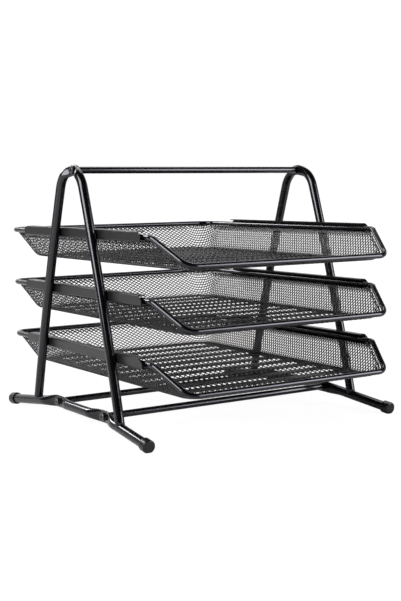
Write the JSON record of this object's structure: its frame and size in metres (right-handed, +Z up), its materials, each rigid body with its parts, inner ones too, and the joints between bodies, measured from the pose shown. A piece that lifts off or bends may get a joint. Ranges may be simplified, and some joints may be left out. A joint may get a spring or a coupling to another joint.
{
  "type": "letter tray stack",
  "caption": "Desk stack of sliding wire-mesh letter trays on two hairpin side frames with splayed foot tubes, crossbars and a carrying handle bar.",
  "frame": {"origin": "middle of the stack on the surface it stands on", "axes": "+X towards the right side frame, -Y towards the low front of the trays, +Z up"},
  "size_m": [0.3094, 0.35, 0.2641],
  "materials": {
    "frame_coat": "satin black powder coat",
    "runner_coat": "matte black powder coat",
    "rim_coat": "semi-gloss black coat",
    "mesh_coat": "satin black coat on expanded sheet",
    "cap_plastic": "matte moulded",
    "screw_black": "glossy black"
  },
  "bodies": {
    "stand": {"left_side_frame": "frame_coat", "left_foot_tube": "frame_coat", "right_side_frame": "frame_coat", "right_foot_tube": "frame_coat", "handle_bar": "frame_coat", "front_crossbar": "frame_coat", "rear_crossbar": "frame_coat", "bottom_left_runner": "runner_coat", "bottom_right_runner": "runner_coat", "middle_left_runner": "runner_coat", "middle_right_runner": "runner_coat", "top_left_runner": "runner_coat", "top_right_runner": "runner_coat", "left_front_foot_cap": "cap_plastic", "left_rear_foot_cap": "cap_plastic", "right_front_foot_cap": "cap_plastic", "right_rear_foot_cap": "cap_plastic", "crossbar_screws": "screw_black", "handle_screws": "screw_black"},
    "bottom_tray": {"bottom_tray_rim": "rim_coat", "bottom_tray_basket": "mesh_coat"},
    "middle_tray": {"middle_tray_rim": "rim_coat", "middle_tray_basket": "mesh_coat"},
    "top_tray": {"top_tray_rim": "rim_coat", "top_tray_basket": "mesh_coat"}
  },
  "joints": [
    {"name": "bottom_tray_slide", "type": "slide", "parent": "stand", "child": "bottom_tray", "axis": [0, -1, 0], "range_m": [-0.008, 0.2]},
    {"name": "middle_tray_slide", "type": "slide", "parent": "stand", "child": "middle_tray", "axis": [0, -1, 0], "range_m": [-0.008, 0.2]},
    {"name": "top_tray_slide", "type": "slide", "parent": "stand", "child": "top_tray", "axis": [0, -1, 0], "range_m": [-0.008, 0.2]}
  ]
}
